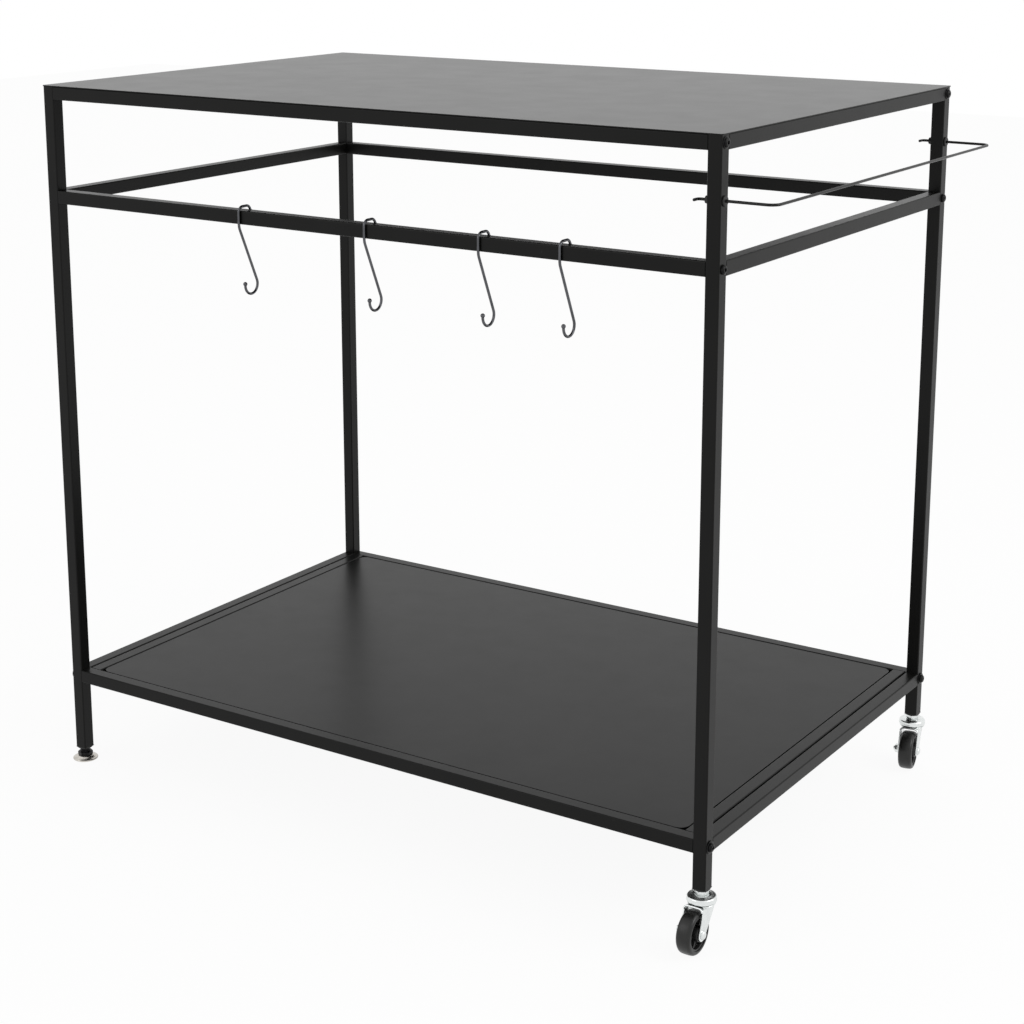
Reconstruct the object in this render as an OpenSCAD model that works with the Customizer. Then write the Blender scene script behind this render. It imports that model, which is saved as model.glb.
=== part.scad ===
// Two-tier steel work cart: a bolted square-tube frame with a sheet top and a
// lower shelf, two swivel casters at one end and two levelling feet at the
// other, a sliding wire towel bar and four S-hooks. Millimetres. +X runs along
// the length towards the casters, -Y is the hook side, +Z is up, and the
// origin lies on the floor under the middle of the outline.

/* [Frame] */
// Length over the legs
cart_l = 950; // [790:1:1200]
// Depth over the legs
cart_w = 610; // [420:1:750]
// Height of the work surface above the floor
cart_h = 900; // [740:1:1100]
// Outside width of the square tube
tube_w = 16.5; // [15:0.1:20]
// Wall of the square tube
tube_wall = 1.2; // [0.8:0.1:1.5]
// Outside corner radius of the square tube
tube_r = 1.5; // [0.8:0.1:2]
// Depth of the middle rails' top below the work surface
mid_drop = 131.5; // [110:0.5:200]
// Height of the shelf rails' top above the floor
shelf_h = 128; // [110:1:250]

/* [Sheets] */
// Thickness of the top and shelf sheets
sheet_t = 1.2; // [0.8:0.1:2]
// Overhang of the top sheet past the frame
top_over = 1; // [0:0.1:1.5]
// Corner radius of the top sheet
top_r = 3; // [1:0.5:8]
// Gap between an end crossbar and the tray tube beside it
tray_gap = 2; // [1:0.5:6]
// Gap between the shelf panel and the tubes round it
panel_gap = 1.5; // [0.5:0.1:4]
// Depth of the shelf panel's face below the tubes' top
panel_sink = 0.5; // [0:0.1:2]
// Depth of the folded edge of the shelf panel
panel_fold = 9; // [4:0.5:12]
// Corner radius of the shelf panel
panel_r = 12; // [4:1:30]
// Width of the braces under both sheets
brace_w = 20; // [10:1:40]
// Height of the braces under both sheets
brace_h = 12; // [6:0.5:14]

/* [Bolts] */
// Diameter of the frame bolts
bolt_d = 6; // [5:0.5:7]
// Head diameter of the frame bolts
head_d = 10.5; // [9:0.5:11]
// Head height of the frame bolts
head_h = 3.3; // [2.5:0.1:4]
// Diameter of the flange under the top bolts' heads
flange_d = 13.6; // [11.5:0.1:14]
// Thickness of that flange
flange_t = 1; // [0.5:0.1:1.5]
// Diameter of the washers under the shelf bolts
washer_d = 15; // [12:0.5:16]
// Thickness of the washers
washer_t = 1.2; // [0.8:0.1:2]
// Hex socket across flats
socket_af = 4; // [3:0.5:5]
// Depth of the hex socket
socket_deep = 1.9; // [1:0.1:2.2]
// Length of the threaded insert in each rail end
insert_l = 12; // [10:1:20]
// Length of bolt inside the insert
bolt_grip = 10; // [6:0.5:10]

/* [Towel bar] */
// Diameter of the wire
bar_d = 3.2; // [2.5:0.1:4]
// Distance of the long run from the legs' outer face
bar_reach = 58; // [40:1:90]
// Depth of the bar below the work surface
bar_drop = 69; // [50:1:85]
// Bend radius of the corners
bar_bend = 11; // [8:1:20]
// Length of each arm's tail past the bushing
bar_tail = 9; // [8:0.5:16]
// Bend radius of the stop at the end of each arm
stop_bend = 4; // [3:0.5:6]
// Length of the stop, from the arm's centre line
stop_l = 10; // [8:0.5:14]
// Outside diameter of the bushing's sleeve
sleeve_d = 8; // [6.5:0.1:9]
// Diameter of the bushing's flange
bush_flange_d = 11.5; // [10:0.1:14]
// Thickness of the bushing's flange
bush_flange_t = 2; // [1:0.1:3]
// Length of the bushing's snap end
snap_l = 4.5; // [3:0.5:7]
// Diameter of the snap end where it holds the leg
snap_d = 10; // [9.4:0.1:11]

/* [S-hooks] */
// Diameter of the hook wire
hook_d = 3.2; // [2.5:0.1:4]
// Diameter of the balls at the ends
ball_d = 5.2; // [4.5:0.1:7]
// Radius of the lower loop's centre line
hook_loop = 11.2; // [8:0.1:16]
// Bend radius of the upper loop's corners
hook_bend = 7; // [6.6:0.1:9]
// Height of a hook, from the rail's top down to its lowest point
hook_hang = 104; // [80:1:140]
// Slant of the shank from upright, in degrees
hook_slant = 24; // [18:1:28]
// Place of the first hook, from the left end of the frame
hook_1 = 314; // [220:1:380]
// Place of the second hook
hook_2 = 499; // [440:1:550]
// Place of the third hook
hook_3 = 655; // [610:1:700]
// Place of the fourth hook
hook_4 = 760; // [720:1:763]

/* [Casters] */
// Height of a caster, from the floor to the leg's end
caster_h = 70; // [68:0.5:80]
// Wheel diameter
wheel_d = 50; // [44:1:50]
// Wheel width
wheel_w = 18; // [14:0.5:20]
// Depth of the tyre on the wheel
tyre_t = 5.5; // [4:0.5:7]
// Rounding of the tyre's edges
tyre_r = 2.2; // [1:0.1:2.5]
// Distance of the axle behind the swivel axis
trail = 20; // [16:1:24]
// Swing of the rear caster about its stem, in degrees
rear_swing = 11; // [0:1:45]
// Sheet thickness of the fork
fork_t = 1.8; // [1.5:0.1:2.5]
// Gap between the wheel and a fork cheek
cheek_gap = 1.8; // [1.5:0.1:3]
// Radius of the fork's boss round the axle
boss_r = 7.5; // [6.5:0.5:9]
// Diameter of the swivel cap
cap_d = 34; // [32:1:38]
// Diameter of the stem
stem_d = 8; // [6:0.5:8]
// Diameter of the axle bolt
axle_d = 6; // [5:0.5:6]
// Outside diameter of the sleeve that the wheel turns on
axle_tube_d = 9; // [8:0.5:10]
// Diameter of the swivel bearing's balls
bearing_ball_d = 3; // [2.5:0.1:3.2]
// Number of balls in the swivel bearing
bearing_balls = 16; // [8:1:18]

/* [Levelling feet] */
// Height of a foot, from the floor to the leg's end
foot_h = 17.5; // [16:0.5:30]
// Diameter of the foot's disc
disc_d = 33; // [26:1:40]
// Height of the disc
disc_h = 5; // [4:0.5:6]
// Hex of the foot's screw across flats
foot_hex = 17; // [15:0.5:19]
// Height of that hex
foot_hex_h = 5.5; // [4:0.5:6]
// Diameter of the neck above the hex
neck_d = 13.5; // [11:0.5:15]
// Length of stud inside the leg
stud_l = 32; // [25:1:40]

/* [Fits] */
// Radial gap of a screw in its thread or a pin pressed in its hole
thread_gap = 0.05; // [0.02:0.01:0.08]
// Radial gap of a turning or sliding fit
running_gap = 0.08; // [0.04:0.01:0.1]
// Radial gap of a bolt in a leg's hole
hole_gap = 0.3; // [0.1:0.05:0.5]
// Gap between pieces that pass or rest loosely
loose_gap = 0.3; // [0.2:0.05:0.5]
// Length of the square plugs inside the legs
plug_l = 38; // [30:1:60]
// Thickness of the plugs' rim under a leg
rim_t = 2; // [1.5:0.1:3]

/* [Hidden] */
$fn = 48;
eps = 0.01;

// Outline past the legs' faces, which sets where the origin lies
left_out = max(disc_d / 2 - tube_w / 2, washer_t + head_h);
right_out = bar_reach + bar_d / 2;
front_out = trail + wheel_d / 2 - tube_w / 2;
rear_out = max(disc_d, cap_d) / 2 - tube_w / 2;
x_left = (left_out - right_out - cart_l) / 2;
x_right = x_left + cart_l;
y_front = (front_out - rear_out - cart_w) / 2;
y_rear = y_front + cart_w;

// Centre lines of the legs and levels of the tubes
leg_xs = [x_left + tube_w / 2, x_right - tube_w / 2];
leg_ys = [y_front + tube_w / 2, y_rear - tube_w / 2];
bore_w = tube_w - 2 * tube_wall;
frame_top = cart_h - sheet_t;
top_z = frame_top - tube_w / 2;
mid_top = cart_h - mid_drop;
mid_z = mid_top - tube_w / 2;
shelf_z = shelf_h - tube_w / 2;
levels = [top_z, mid_z, shelf_z];
bar_z = cart_h - bar_drop;
panel_top = shelf_h - panel_sink;

// Tray: tubes beside the end crossbars, and braces a third of the way in
tray_xs = [x_left + 1.5 * tube_w + tray_gap, x_right - 1.5 * tube_w - tray_gap];
tray_inner = tray_xs[1] - tray_xs[0] - tube_w;
tray_mid = (x_left + x_right) / 2;
brace_xs = [tray_mid - tray_inner / 6, tray_mid + tray_inner / 6];
inner_w = cart_w - 2 * tube_w;
mid_y = (y_front + y_rear) / 2;
fold_gap = 0.5;

// Legs' black fittings
bar_bore_d = bar_d + 2 * running_gap;
sleeve_gap = 0.1;
slot_w = 1.2;

// Caster levels, from the floor up
crown_gap = 2.5;
crown_z = wheel_d + crown_gap;
crown_top = crown_z + fork_t;
crown_r = cap_d / 2 - 1;
crown_back = 11;
crown_front = 17;
race_h = 2.5;
race_r = cap_d / 2 - 3;
ball_ring = cap_d / 2 - 7;
ball_z = crown_top + race_h + 0.7;
groove_r = bearing_ball_d / 2 + 0.1;
cap_under = ball_z + 0.8;
cap_top = cap_under + 3.6;
cap_step_h = 1;
cap_step_r = cap_d / 2 - 6;
cap_wall = 1.8;
cap_skirt = 0.9;
rivet_h = 1.6;
rivet_gap = 0.2;
rivet_d = 13;
stem_hex = 14;
stem_up = 30;
fork_in = wheel_w / 2 + cheek_gap;
fork_out = fork_in + fork_t;
axle_z = wheel_d / 2;
axle_head_h = 3.2;
axle_head_d = 10;
nut_af = 10;
nut_h = 5;
bolt_end = 1.5;
core_r = wheel_d / 2 - tyre_t;
rim_wall = 2.5;
web_t = 6;
hub_d = 17;
hub_gap = 0.5;
rib_count = 6;
rib_t = 2;
rib_l = 12;

// Foot levels, from the floor up
hex_top = disc_h + foot_hex_h;
neck_top = foot_h - rim_t - loose_gap;
edge_r = 1;

// Lie of a hook on its rail
rest_gap = 0.15;
shank_bend = 15;
tip_l = 2;

black = "#20201e";
bolt_black = "#2b2b2b";
zinc = "#c4c6c6";
gunmetal = "#5a5c60";
rubber_black = "#1c1c1b";
nickel = "#b9b9b4";

// ---- Shared shapes ----

// Rounded square outline
module round_square(w, h, r) {
    square([w - 2 * r, h], center = true);
    square([w, h - 2 * r], center = true);
    for (x = [-1, 1], y = [-1, 1])
        translate([x * (w / 2 - r), y * (h / 2 - r)]) circle(r);
}

// Square tube standing on the origin
module tube(len, w = tube_w, h = tube_w) {
    linear_extrude(len)
        difference() {
            round_square(w, h, tube_r);
            square([w - 2 * tube_wall, h - 2 * tube_wall], center = true);
        }
}

// Tube along X that starts at x
module tube_x(x, y, z, len) {
    translate([x, y, z]) rotate([90, 0, 90]) tube(len);
}

// Tube along Y that starts at y
module tube_y(x, y, z, len, w = tube_w, h = tube_w) {
    translate([x, y, z]) rotate([90, 0, 180]) tube(len, w, h);
}

// Straight wire between two points of a plane
module rod(from, to, d) {
    run = to - from;
    translate(from)
        rotate([0, 0, atan2(run[1], run[0])])
            rotate([0, 90, 0]) cylinder(d = d, h = norm(run));
}

// Bent wire in a plane, from angle a turning by sweep
module bend(centre, r, a, sweep, d) {
    translate(centre) rotate([0, 0, a])
        rotate_extrude(angle = sweep) translate([r, 0]) circle(d = d);
}

// Direction at angle a in a plane
function dir(a) = [cos(a), sin(a)];

// Rings along an arc, each a centre, a heading and a radius
function arc_rings(centre, r, from, turn, wire_r) =
    let (steps = ceil(abs(turn) / 15))
    [for (i = [0 : steps])
        let (a = from + turn * i / steps)
        [centre + r * dir(a), a + (turn > 0 ? 90 : -90), wire_r]];

// Rings over a ball at the start (side -1) or the end (side 1) of a wire
function ball_rings(centre, heading, ball_r, wire_r, side) =
    let (neck = acos(wire_r / ball_r), tilts = [-85, -57, -28, 0, neck / 2, neck])
    [for (i = [0 : len(tilts) - 1])
        let (tilt = side < 0 ? tilts[i] : -tilts[len(tilts) - 1 - i])
        [centre + ball_r * sin(tilt) * dir(heading), heading, ball_r * cos(tilt)]];

// Wire swept through rings that lie in one plane
module sweep(rings, sides) {
    last = len(rings) - 1;
    points = [for (ring = rings, j = [0 : sides - 1])
        let (across = ring[2] * cos(360 * j / sides), h = ring[1])
        [ring[0][0] - across * sin(h), ring[0][1] + across * cos(h),
            ring[2] * sin(360 * j / sides)]];
    walls = [for (i = [0 : last - 1], j = [0 : sides - 1])
        let (k = (j + 1) % sides)
        [i * sides + j, (i + 1) * sides + j, (i + 1) * sides + k, i * sides + k]];
    start = [for (j = [0 : sides - 1]) j];
    end = [for (j = [sides - 1 : -1 : 0]) last * sides + j];
    polyhedron(points, concat([start, end], walls));
}

// Half outline of a ring with both outer edges rounded, for turning
module round_ring(r_in, r_out, w, r) {
    translate([r_in, -w / 2]) square([r_out - r_in - r, w]);
    translate([r_in, r - w / 2]) square([r_out - r_in, w - 2 * r]);
    for (s = [-1, 1])
        translate([r_out - r, s * (w / 2 - r)]) circle(r);
}

// Domed cap of a screw head, standing on the origin
module dome(d, h, rim) {
    rise = h - rim;
    ball = (d * d / 4 + rise * rise) / (2 * rise);
    intersection() {
        cylinder(d = d, h = h);
        translate([0, 0, h - ball]) sphere(ball, $fn = 96);
    }
}

// ---- Frame ----

// Leg with its bolt holes, and bar holes at the caster end
module leg(x, y, foot, bar) {
    color(black)
        difference() {
            translate([x, y, foot]) tube(frame_top - foot);
            for (z = levels)
                translate([x - tube_w, y, z])
                    rotate([0, 90, 0]) cylinder(d = bolt_d + 2 * hole_gap, h = 2 * tube_w);
            if (bar)
                translate([x - tube_w, y, bar_z])
                    rotate([0, 90, 0]) cylinder(d = sleeve_d + 2 * sleeve_gap, h = 2 * tube_w);
        }
}

module front_left_leg() leg(leg_xs[0], leg_ys[0], foot_h, false);
module rear_left_leg() leg(leg_xs[0], leg_ys[1], foot_h, false);
module front_right_leg() leg(leg_xs[1], leg_ys[0], caster_h, true);
module rear_right_leg() leg(leg_xs[1], leg_ys[1], caster_h, true);

// Tube welded between a front and a rear leg
module crossbar(x, z) {
    color(black) tube_y(x, y_front + tube_w, z, inner_w);
}

module left_top_crossbar() crossbar(leg_xs[0], top_z);
module left_mid_crossbar() crossbar(leg_xs[0], mid_z);
module left_shelf_crossbar() crossbar(leg_xs[0], shelf_z);
module right_top_crossbar() crossbar(leg_xs[1], top_z);
module right_mid_crossbar() crossbar(leg_xs[1], mid_z);
module right_shelf_crossbar() crossbar(leg_xs[1], shelf_z);

// Long rail bolted between a left and a right leg
module rail(y, z) {
    color(black) tube_x(x_left + tube_w, y, z, cart_l - 2 * tube_w);
}

module front_top_rail() rail(leg_ys[0], top_z);
module rear_top_rail() rail(leg_ys[1], top_z);
module front_mid_rail() rail(leg_ys[0], mid_z);
module rear_mid_rail() rail(leg_ys[1], mid_z);
module front_shelf_rail() rail(leg_ys[0], shelf_z);
module rear_shelf_rail() rail(leg_ys[1], shelf_z);

// Tube of the tray, between the shelf rails beside an end crossbar
module tray_tube(x) {
    color(black) tube_y(x, y_front + tube_w, shelf_z, inner_w);
}

module left_tray_tube() tray_tube(tray_xs[0]);
module right_tray_tube() tray_tube(tray_xs[1]);

// Two flat tubes across the frame that carry a sheet at height z
module braces(z) {
    color(black)
        for (x = brace_xs)
            tube_y(x, y_front + tube_w, z - brace_h / 2, inner_w, brace_w, brace_h);
}

module top_braces() braces(frame_top);
module shelf_braces() braces(panel_top - sheet_t);

module top_panel() {
    color(black)
        translate([tray_mid, mid_y, frame_top])
            linear_extrude(sheet_t)
                round_square(cart_l + 2 * top_over, cart_w + 2 * top_over, top_r);
}

// Shelf sheet with a folded edge that is notched over the braces
module shelf_panel() {
    w = tray_inner - 2 * panel_gap;
    h = inner_w - 2 * panel_gap;
    color(black)
        difference() {
            translate([tray_mid, mid_y, panel_top - panel_fold])
                linear_extrude(panel_fold) round_square(w, h, panel_r);
            translate([tray_mid, mid_y, panel_top - panel_fold - 1])
                linear_extrude(panel_fold + 1 - sheet_t)
                    round_square(w - 2 * sheet_t, h - 2 * sheet_t, panel_r - sheet_t);
            for (x = brace_xs)
                translate([x - brace_w / 2 - fold_gap, y_front, panel_top - sheet_t - panel_fold])
                    cube([brace_w + 2 * fold_gap, cart_w, panel_fold]);
        }
}

// ---- Bolts ----

// Button-head bolt whose seat is the origin and whose head points up
module bolt(flange, through) {
    base = flange ? flange_t : 0;
    difference() {
        union() {
            translate([0, 0, -through - bolt_grip]) cylinder(d = bolt_d, h = through + bolt_grip + eps);
            if (flange) cylinder(d = flange_d, h = flange_t);
            translate([0, 0, base]) dome(head_d, head_h - base, 0.6);
        }
        translate([0, 0, head_h - socket_deep])
            cylinder(d = socket_af / cos(30), h = socket_deep + 1, $fn = 6);
    }
}

// A child at each of the four legs' outer faces, pointing away from the cart
module at_leg_faces(z, out) {
    for (side = [0, 1], y = leg_ys)
        translate([side ? x_right + out : x_left - out, y, z])
            mirror([1 - side, 0, 0]) rotate([0, 90, 0]) children();
}

module top_bolts() color(bolt_black) at_leg_faces(top_z, 0) bolt(true, tube_w);
module mid_bolts() color(bolt_black) at_leg_faces(mid_z, 0) bolt(false, tube_w);
module shelf_bolts() color(bolt_black)
    at_leg_faces(shelf_z, washer_t) bolt(false, tube_w + washer_t);

module shelf_washers() {
    color(bolt_black)
        at_leg_faces(shelf_z, 0)
            difference() {
                cylinder(d = washer_d, h = washer_t);
                translate([0, 0, -1]) cylinder(d = bolt_d + 2 * hole_gap, h = washer_t + 2);
            }
}

// Threaded square inserts pressed into the ends of the rails
module rail_inserts() {
    color(zinc)
        for (z = levels)
            at_leg_faces(z, -tube_w - insert_l)
                difference() {
                    translate([-bore_w / 2, -bore_w / 2, 0]) cube([bore_w, bore_w, insert_l]);
                    translate([0, 0, -1])
                        cylinder(d = bolt_d + 2 * thread_gap, h = insert_l + 2);
                }
}

// ---- Leg ends and bushings ----

// Square plug in a leg's lower end, with a rim that narrows downwards
module plug() {
    translate([-bore_w / 2, -bore_w / 2, 0]) cube([bore_w, bore_w, plug_l]);
    translate([0, 0, -rim_t])
        intersection() {
            translate([-tube_w / 2, -tube_w / 2, 0]) cube([tube_w, tube_w, rim_t]);
            cylinder(r1 = tube_w / 2, r2 = tube_w / 2 + 2 * rim_t, h = rim_t);
        }
}

module sockets(x, z, hole_d) {
    color(bolt_black)
        for (y = leg_ys)
            translate([x, y, z])
                difference() {
                    plug();
                    translate([0, 0, -rim_t - 1]) cylinder(d = hole_d, h = plug_l + rim_t + 2);
                }
}

module foot_sockets() sockets(leg_xs[0], foot_h, stem_d + 2 * thread_gap);
module caster_sockets() sockets(leg_xs[1], caster_h, stem_d + 2 * thread_gap);

// Snap bushing that guides the bar through a leg, its flange outside
module bushing() {
    difference() {
        union() {
            translate([0, 0, -tube_w - snap_l]) cylinder(d = sleeve_d, h = tube_w + snap_l + eps);
            cylinder(d = bush_flange_d, h = bush_flange_t);
            translate([0, 0, -tube_w - snap_l])
                cylinder(d1 = sleeve_d, d2 = snap_d, h = snap_l);
        }
        translate([0, 0, -tube_w - snap_l - 1])
            cylinder(d = bar_bore_d, h = tube_w + snap_l + bush_flange_t + 2);
        translate([-snap_d, -slot_w / 2, -tube_w - snap_l - 1])
            cube([2 * snap_d, slot_w, snap_l + 1]);
    }
}

module bar_bushings() {
    color(bolt_black)
        for (y = leg_ys)
            translate([x_right, y, bar_z]) rotate([0, 90, 0]) bushing();
}

// ---- Towel bar ----

// Wire bent into a U whose arms slide in the bushings, with turned ends
module towel_bar() {
    run_x = x_right + bar_reach;
    arm_x = run_x - bar_bend;
    end_x = x_right - tube_w - snap_l - bar_tail;
    color(black)
        translate([0, 0, bar_z]) {
            rod([run_x, leg_ys[0] + bar_bend], [run_x, leg_ys[1] - bar_bend], bar_d);
            bend([arm_x, leg_ys[0] + bar_bend], bar_bend, -90, 90, bar_d);
            bend([arm_x, leg_ys[1] - bar_bend], bar_bend, 0, 90, bar_d);
            for (y = leg_ys) {
                rod([end_x + stop_bend, y], [arm_x, y], bar_d);
                bend([end_x + stop_bend, y - stop_bend], stop_bend, 90, 90, bar_d);
                rod([end_x, y - stop_l], [end_x, y - stop_bend], bar_d);
            }
        }
}

// ---- S-hooks ----

// Hook in the plane across the rail: its upper loop lies over the rail, its
// shank slants back under the rail, and its lower loop opens to the front
module s_hook(place) {
    front = -hook_d / 2 - loose_gap;
    back = tube_w + ball_d / 2 + loose_gap;
    corner_in = front + hook_bend - tube_r;
    corner_z = -tube_r - sqrt(pow(corner_in + loose_gap - rest_gap, 2) - pow(corner_in, 2));
    knee = [front + shank_bend * (1 - cos(hook_slant)), -tube_w - shank_bend * sin(hook_slant)];
    loop_z = hook_loop + hook_d / 2 - hook_hang;
    shank_l = (knee[1] - loop_z - hook_loop * sin(hook_slant)) / cos(hook_slant);
    heel = knee + shank_l * dir(hook_slant - 90);
    loop = heel - hook_loop * dir(hook_slant);
    wire_r = hook_d / 2;
    rings = concat(
        ball_rings([back, corner_z], 90, ball_d / 2, wire_r, -1),
        arc_rings([back - hook_bend, corner_z], hook_bend, 0, 90, wire_r),
        arc_rings([front + hook_bend, corner_z], hook_bend, 90, 90, wire_r),
        arc_rings([front + shank_bend, -tube_w], shank_bend, 180, hook_slant, wire_r),
        arc_rings(loop, hook_loop, hook_slant, -180 - hook_slant, wire_r),
        ball_rings(loop - [hook_loop, -tip_l], 90, ball_d / 2, wire_r, 1));
    color(gunmetal)
        translate([x_left + place, y_front, mid_top]) rotate([90, 0, 90]) sweep(rings, 12);
}

module s_hook_1() s_hook(hook_1);
module s_hook_2() s_hook(hook_2);
module s_hook_3() s_hook(hook_3);
module s_hook_4() s_hook(hook_4);

// ---- Casters, about a swivel axis at the origin and trailing to -Y ----

// Children at the caster of the front or the rear leg
module at_caster(rear) {
    translate([leg_xs[1], leg_ys[rear ? 1 : 0], 0])
        rotate([0, 0, rear ? rear_swing : 0]) children();
}

// Children turned so that their +Z runs along the axle towards +X
module at_axle(along) {
    translate([along, -trail, axle_z]) rotate([0, 90, 0]) children();
}

// Hexagonal prism on the origin
module hex(af, h) {
    cylinder(d = af / cos(30), h = h, $fn = 6);
}

// Stem with its hex, down through the cap and the fork to a riveted head
module stem() {
    head_z = crown_z - rivet_gap - rivet_h;
    color(zinc) {
        translate([0, 0, head_z]) cylinder(d = stem_d, h = caster_h + stem_up - head_z);
        translate([0, 0, head_z]) cylinder(d = rivet_d, h = rivet_h);
        translate([0, 0, cap_top + cap_step_h])
            hex(stem_hex, caster_h - rim_t - cap_top - cap_step_h);
    }
}

// Groove that the bearing balls run in
module ball_groove() {
    rotate_extrude() translate([ball_ring, ball_z]) circle(groove_r);
}

// Swivel cap: a pressed cup over the balls, with a raised step on top
module swivel_cap() {
    cap_r = cap_d / 2;
    bore_r = stem_d / 2 + thread_gap;
    color(zinc)
        difference() {
            rotate_extrude()
                polygon([[bore_r, cap_under], [cap_r - cap_wall, cap_under],
                    [cap_r - cap_wall, crown_top + cap_skirt], [cap_r, crown_top + cap_skirt],
                    [cap_r, cap_top - cap_wall], [cap_r - cap_wall, cap_top],
                    [cap_step_r + cap_step_h, cap_top], [cap_step_r, cap_top + cap_step_h],
                    [bore_r, cap_top + cap_step_h]]);
            ball_groove();
        }
}

module swivel_balls() {
    color(zinc)
        for (i = [0 : bearing_balls - 1])
            rotate([0, 0, i * 360 / bearing_balls])
                translate([ball_ring, 0, ball_z]) sphere(d = bearing_ball_d);
}

// Point where the line from p touches a circle, on its left or right side
function tangent(p, c, r, side) =
    let (d = p - c, a = atan2(d[1], d[0]) + side * acos(r / norm(d)))
    c + r * [cos(a), sin(a)];

// Outline of a fork cheek, in the plane across the axle
module cheek() {
    axle = [-trail, axle_z];
    back = [crown_back, crown_top];
    front = [-crown_front, crown_top];
    translate(axle) circle(boss_r);
    polygon([back, front, tangent(front, axle, boss_r, 1), axle,
        tangent(back, axle, boss_r, -1)]);
}

// Pressed fork: a crown with the lower race, and a cheek on each side
module fork() {
    color(zinc)
        difference() {
            union() {
                translate([0, 0, crown_z]) cylinder(r = crown_r, h = fork_t);
                translate([0, 0, crown_z]) cylinder(r = race_r, h = fork_t + race_h);
                translate([-fork_out, -crown_front, crown_z])
                    cube([2 * fork_out, crown_front + crown_back, fork_t]);
                for (x = [-fork_out, fork_in])
                    translate([x, 0, 0]) rotate([90, 0, 90]) linear_extrude(fork_t) cheek();
            }
            ball_groove();
            translate([0, 0, crown_z - 1])
                cylinder(r = stem_d / 2 + running_gap, h = fork_t + race_h + 2);
            at_axle(-fork_out - 1)
                cylinder(d = axle_d + 2 * thread_gap, h = 2 * fork_out + 2);
        }
}

// Axle bolt, head towards +X
module axle_bolt() {
    shank = 2 * fork_out + nut_h + bolt_end;
    color(zinc) {
        at_axle(fork_out - shank) cylinder(d = axle_d, h = shank + eps);
        at_axle(fork_out) dome(axle_head_d, axle_head_h, 1);
    }
}

module axle_nut() {
    color(zinc)
        at_axle(-fork_out - nut_h)
            difference() {
                hex(nut_af, nut_h);
                translate([0, 0, -1]) cylinder(d = axle_d + 2 * thread_gap, h = nut_h + 2);
            }
}

// Sleeve clamped between the cheeks, which the wheel turns on
module axle_sleeve() {
    color(zinc)
        at_axle(-fork_in)
            difference() {
                cylinder(d = axle_tube_d, h = 2 * fork_in);
                translate([0, 0, -1])
                    cylinder(d = axle_d + 2 * thread_gap, h = 2 * fork_in + 2);
            }
}

// Wheel body: hub, web, rim and ribs
module wheel_core() {
    hub_l = 2 * (fork_in - hub_gap);
    rim_l = wheel_w - 2 * rim_wall / 2;
    color(rubber_black)
        at_axle(0)
            difference() {
                union() {
                    translate([0, 0, -hub_l / 2]) cylinder(d = hub_d, h = hub_l);
                    translate([0, 0, -web_t / 2]) cylinder(r = core_r, h = web_t);
                    translate([0, 0, -rim_l / 2])
                        difference() {
                            cylinder(r = core_r, h = rim_l);
                            translate([0, 0, -1]) cylinder(r = core_r - rim_wall, h = rim_l + 2);
                        }
                    for (i = [0 : rib_count - 1])
                        rotate([0, 0, i * 360 / rib_count])
                            translate([hub_d / 2 - 1, -rib_t / 2, -rib_l / 2])
                                cube([core_r - rim_wall - hub_d / 2 + 2, rib_t, rib_l]);
                }
                translate([0, 0, -hub_l])
                    cylinder(d = axle_tube_d + 2 * running_gap, h = 2 * hub_l);
            }
}

module tyre() {
    color(rubber_black)
        at_axle(0) rotate_extrude() round_ring(core_r, wheel_d / 2, wheel_w, tyre_r);
}

module front_caster_stem() at_caster(false) stem();
module front_caster_cap() at_caster(false) swivel_cap();
module front_caster_balls() at_caster(false) swivel_balls();
module front_caster_fork() at_caster(false) fork();
module front_axle_bolt() at_caster(false) axle_bolt();
module front_axle_nut() at_caster(false) axle_nut();
module front_axle_sleeve() at_caster(false) axle_sleeve();
module front_wheel_core() at_caster(false) wheel_core();
module front_tyre() at_caster(false) tyre();
module rear_caster_stem() at_caster(true) stem();
module rear_caster_cap() at_caster(true) swivel_cap();
module rear_caster_balls() at_caster(true) swivel_balls();
module rear_caster_fork() at_caster(true) fork();
module rear_axle_bolt() at_caster(true) axle_bolt();
module rear_axle_nut() at_caster(true) axle_nut();
module rear_axle_sleeve() at_caster(true) axle_sleeve();
module rear_wheel_core() at_caster(true) wheel_core();
module rear_tyre() at_caster(true) tyre();

// ---- Levelling feet ----

module foot_screw(y) {
    color(bolt_black)
        translate([leg_xs[0], y, 0]) {
            translate([0, 0, disc_h]) hex(foot_hex, foot_hex_h);
            translate([0, 0, disc_h]) cylinder(d = neck_d, h = neck_top - disc_h);
            translate([0, 0, disc_h]) cylinder(d = stem_d, h = foot_h + stud_l - disc_h);
        }
}

// Pressed disc with a rolled edge, dished up to the screw
module foot_disc(y) {
    r = disc_d / 2;
    color(nickel)
        translate([leg_xs[0], y, 0])
            rotate_extrude() {
                polygon([[0, 0], [r - edge_r, 0], [r - edge_r, 2 * edge_r],
                    [foot_hex / 2 + 3, disc_h - 0.6], [foot_hex / 2 + 1.5, disc_h], [0, disc_h]]);
                translate([r - edge_r, edge_r]) circle(edge_r);
            }
}

module front_foot_screw() foot_screw(leg_ys[0]);
module front_foot_disc() foot_disc(leg_ys[0]);
module rear_foot_screw() foot_screw(leg_ys[1]);
module rear_foot_disc() foot_disc(leg_ys[1]);

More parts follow.
